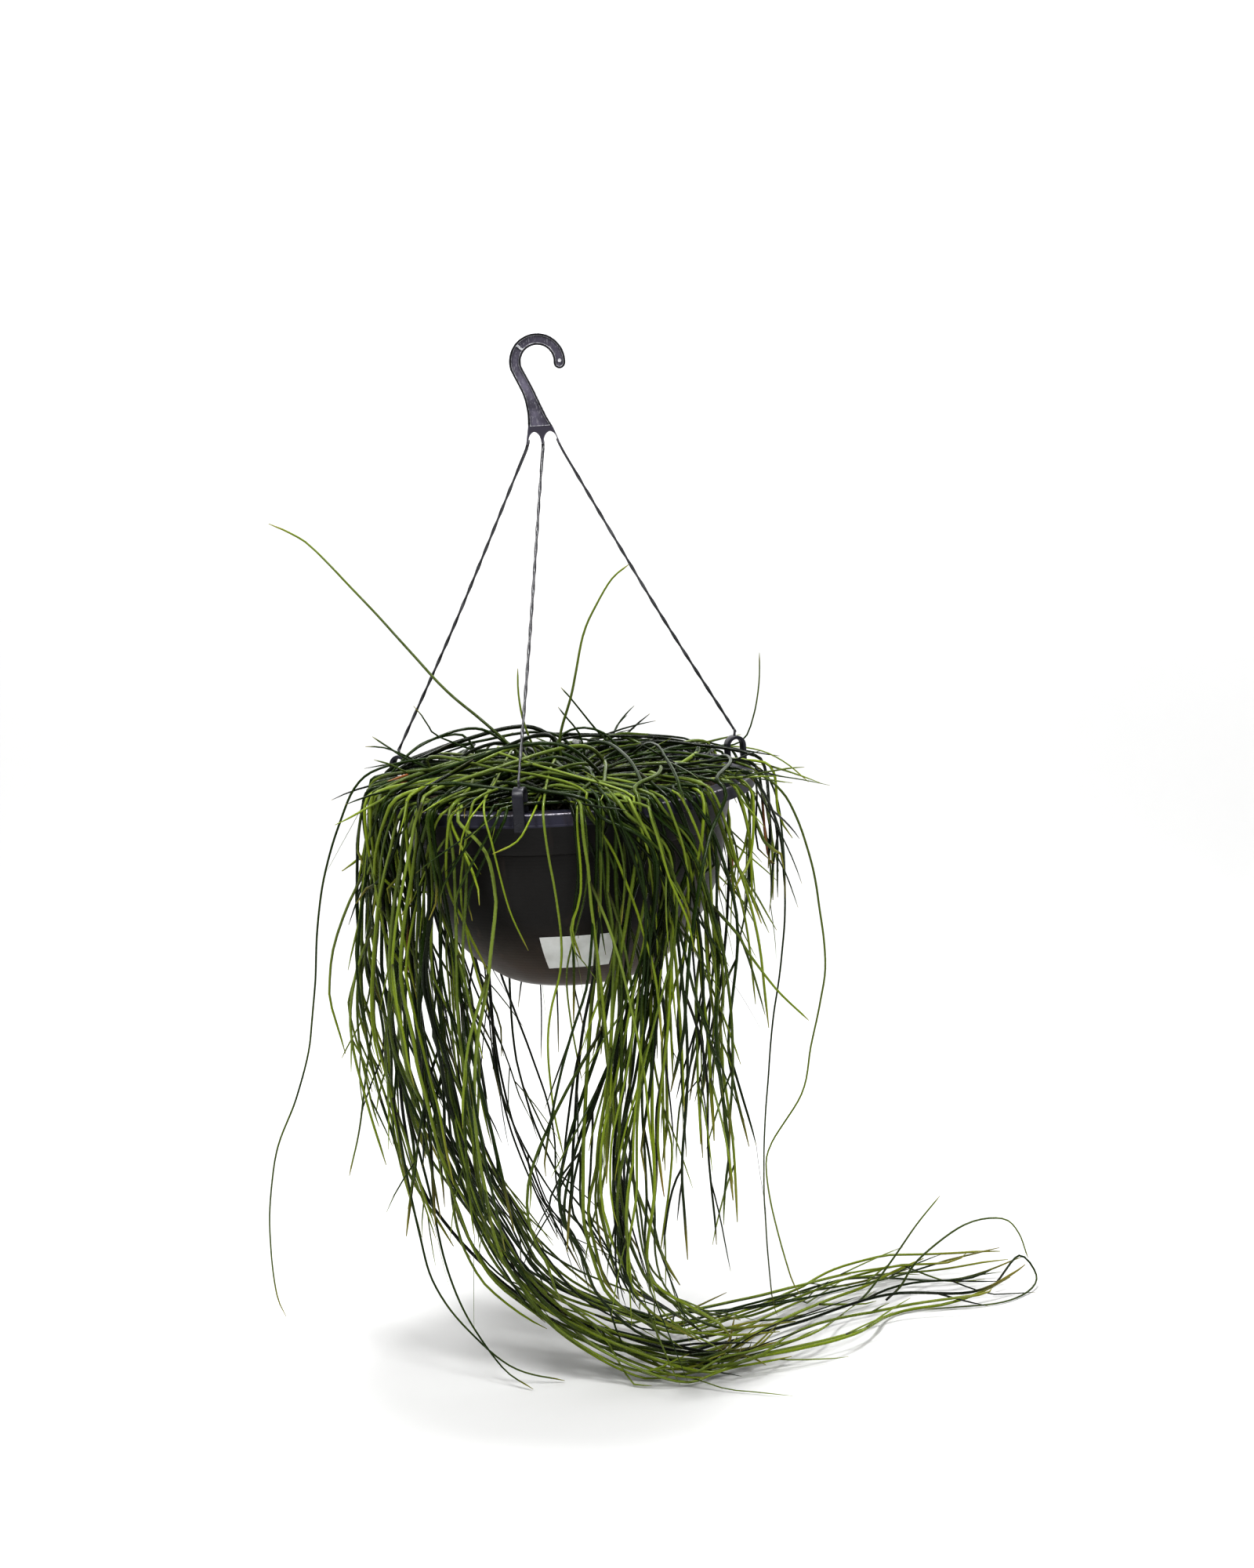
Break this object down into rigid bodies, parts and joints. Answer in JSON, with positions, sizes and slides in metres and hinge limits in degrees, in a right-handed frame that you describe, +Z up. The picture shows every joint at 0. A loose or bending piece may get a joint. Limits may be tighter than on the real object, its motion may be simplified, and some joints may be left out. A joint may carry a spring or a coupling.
{
  "type": "potted rhipsalis",
  "caption": "Trailing rhipsalis in a round hanging bowl pot with a moulded hook hanger; long thin stems fall over the rim and sweep along the floor.",
  "frame": {"origin": "the seat of the hook: the inner top of its crook, where a rail or a ring bears", "axes": "+Z up, -Y the front, +X to the right, the way the long stems sweep. The hanger and the pot hang 3.6 degrees out of plumb about Y, so the pot's base centre is 27.6 mm to the right of the hook's seat"},
  "size_m": [0.5957, 0.3004, 0.7282],
  "materials": {
    "hanger_plastic": "satin anthracite moulding",
    "pot_plastic": "satin dark grey moulding",
    "potting_soil": "crumbly peat mix",
    "label_paper": "plain white, bare",
    "stem": "waxy green, dark to yellow-green"
  },
  "bodies": {
    "root": {"hanger_hook": "hanger_plastic", "pot_base": "pot_plastic", "pot_bowl_low": "pot_plastic", "pot_bowl_middle": "pot_plastic", "pot_bowl_upper": "pot_plastic", "pot_bowl_top": "pot_plastic", "pot_collar": "pot_plastic", "pot_flange": "pot_plastic", "pot_band": "pot_plastic", "soil": "potting_soil", "label": "label_paper", "hanger_strand_left": "hanger_plastic", "hanger_strand_front": "hanger_plastic", "hanger_strand_right": "hanger_plastic", "rim_clip_left": "hanger_plastic", "rim_clip_front": "hanger_plastic", "rim_clip_right": "hanger_plastic", "stem_lock_left_01": "stem", "stem_lock_left_02": "stem", "stem_lock_left_03": "stem", "stem_lock_left_04": "stem", "stem_lock_left_05": "stem", "stem_lock_left_06": "stem", "stem_lock_left_07": "stem", "stem_lock_left_08": "stem", "stem_lock_back_01": "stem", "stem_lock_back_02": "stem", "stem_lock_back_03": "stem", "stem_lock_back_04": "stem", "stem_lock_back_05": "stem", "stem_lock_back_06": "stem", "stem_lock_back_07": "stem", "stem_lock_back_08": "stem", "stem_lock_back_09": "stem", "stem_lock_back_10": "stem", "stem_lock_back_11": "stem", "stem_lock_right_01": "stem", "stem_lock_right_02": "stem", "stem_lock_right_03": "stem", "stem_lock_right_04": "stem", "stem_lock_right_05": "stem", "stem_lock_right_06": "stem", "stem_lock_right_07": "stem", "stem_lock_right_08": "stem", "stem_lock_right_09": "stem", "stem_lock_right_10": "stem", "stray_stem_up_left": "stem", "stray_stem_up_short": "stem", "stray_stem_up_middle": "stem", "stray_stem_up_right": "stem", "stray_stem_far_left": "stem", "stray_stem_far_right": "stem", "stray_stem_straight_right": "stem", "stray_stem_out_right": "stem"}
  },
  "joints": []
}
